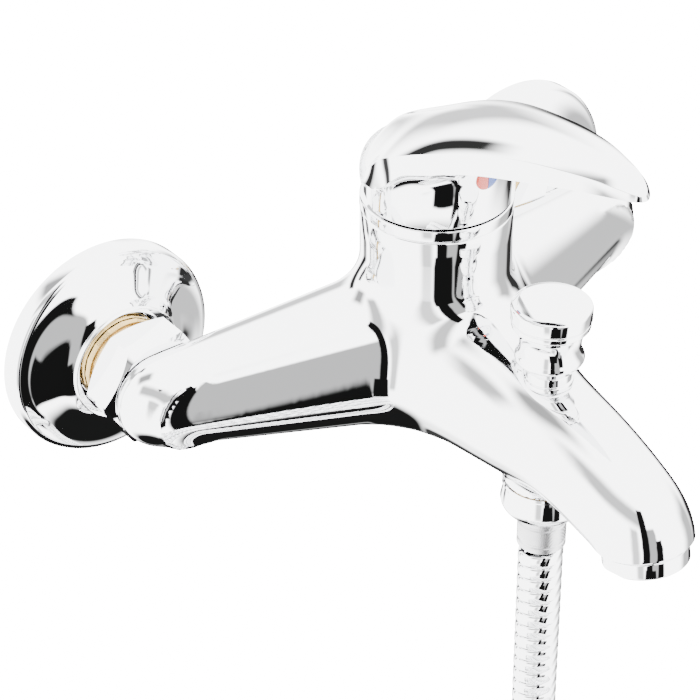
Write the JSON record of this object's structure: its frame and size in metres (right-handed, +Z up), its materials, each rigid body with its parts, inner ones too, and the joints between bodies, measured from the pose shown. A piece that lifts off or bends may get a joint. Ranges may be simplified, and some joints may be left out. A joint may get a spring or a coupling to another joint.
{
  "type": "wall mounted bath faucet",
  "caption": "Single-lever wall mounted bath mixer with a short down-turned spout, a pull-up diverter knob on the spout and a ribbed metal shower hose hanging coiled below.",
  "frame": {"origin": "on the wall plane, midway between the two inlets and at the height of the union nuts' axes", "axes": "+X along the wall to the right as seen by the user, +Y into the wall, -Y towards the user, +Z up"},
  "size_m": [0.2226, 0.176, 0.3407],
  "materials": {
    "chrome": "polished chrome plate",
    "brass": "machined",
    "steel": "bright drawn stainless",
    "ceramic": "lapped alumina ceramic",
    "acetal": "moulded",
    "grey_plastic": "moulded",
    "rubber": "moulded seal",
    "red_plastic": "moulded",
    "blue_plastic": "moulded",
    "strap": "woven hook-and-loop band"
  },
  "bodies": {
    "root": {"body_casting": "chrome", "wall_flange_left": "chrome", "wall_flange_right": "chrome", "union_nut_left": "chrome", "union_nut_right": "chrome", "collar_cap": "chrome", "cartridge_dome": "chrome", "diverter_bushing": "chrome", "aerator_housing": "chrome", "hose_nut_top": "chrome", "hose_ferrule_top": "chrome", "shower_hose": "chrome", "hose_coil": "chrome", "hose_tail": "chrome", "hose_ferrule_end": "chrome", "eccentric_union_left": "brass", "eccentric_union_right": "brass", "union_tail_left": "brass", "union_tail_right": "brass", "cartridge_nut": "brass", "diverter_seat": "brass", "outlet_nipple": "brass", "inlet_strainer_left": "steel", "inlet_strainer_right": "steel", "aerator_mesh": "steel", "fixed_disc": "ceramic", "cartridge_base": "acetal", "cartridge_housing": "acetal", "check_valve_body": "acetal", "aerator_insert": "acetal", "inlet_washer_left": "rubber", "inlet_washer_right": "rubber", "base_seal_hot": "rubber", "base_seal_cold": "rubber", "base_seal_mixed": "rubber", "diverter_gland_seal": "rubber", "aerator_gasket": "rubber", "hose_washer_top": "rubber", "hose_washer_end": "rubber", "hose_tie_left": "strap", "hose_tie_right": "strap"},
    "swivel": {"cartridge_swivel": "grey_plastic", "stem_pin": "steel"},
    "lever": {"cartridge_stem": "brass", "lever_handle": "chrome", "handle_set_screw": "steel", "indicator_hot": "red_plastic", "indicator_cold": "blue_plastic"},
    "mixer_disc": {"disc_carrier": "grey_plastic", "moving_disc": "ceramic"},
    "diverter": {"diverter_knob": "chrome", "diverter_rod": "steel", "diverter_valve": "brass", "diverter_lower_seal": "rubber", "diverter_upper_seal": "rubber", "diverter_spring": "steel"},
    "check_poppet": {"check_poppet": "grey_plastic", "check_spring": "steel"},
    "end_nut": {"hose_nut_end": "chrome"}
  },
  "joints": [
    {"name": "temperature_swivel", "type": "hinge", "parent": "root", "child": "swivel", "pos_m": [0, -0.0573, 0.0504], "axis": [0, 0, 1], "range_deg": [-45, 45]},
    {"name": "lever_lift", "type": "hinge", "parent": "swivel", "child": "lever", "pos_m": [0, -0.0573, 0.0504], "axis": [-1, 0, 0], "range_deg": [0, 25]},
    {"name": "mixer_disc_slide", "type": "slide", "parent": "swivel", "child": "mixer_disc", "axis": [0, -1, 0], "range_m": [0, 0.0079]},
    {"name": "diverter_pull", "type": "slide", "parent": "root", "child": "diverter", "axis": [0, 0, 1], "range_m": [0, 0.008], "stiffness_N_per_m": 150, "springref_m": -0.006, "deforming": ["diverter_spring"]},
    {"name": "check_valve_slide", "type": "slide", "parent": "root", "child": "check_poppet", "axis": [0, 0, -1], "range_m": [0, 0.003], "stiffness_N_per_m": 60, "springref_m": -0.002, "deforming": ["check_spring"]},
    {"name": "end_nut_turn", "type": "hinge", "parent": "root", "child": "end_nut", "pos_m": [0.037, -0.15005, -0.23], "axis": [0, 0, 1], "continuous": true}
  ],
  "couplings": [
    {"joint": "mixer_disc_slide", "follows": "lever_lift", "m_per_rad": 0.01786}
  ]
}
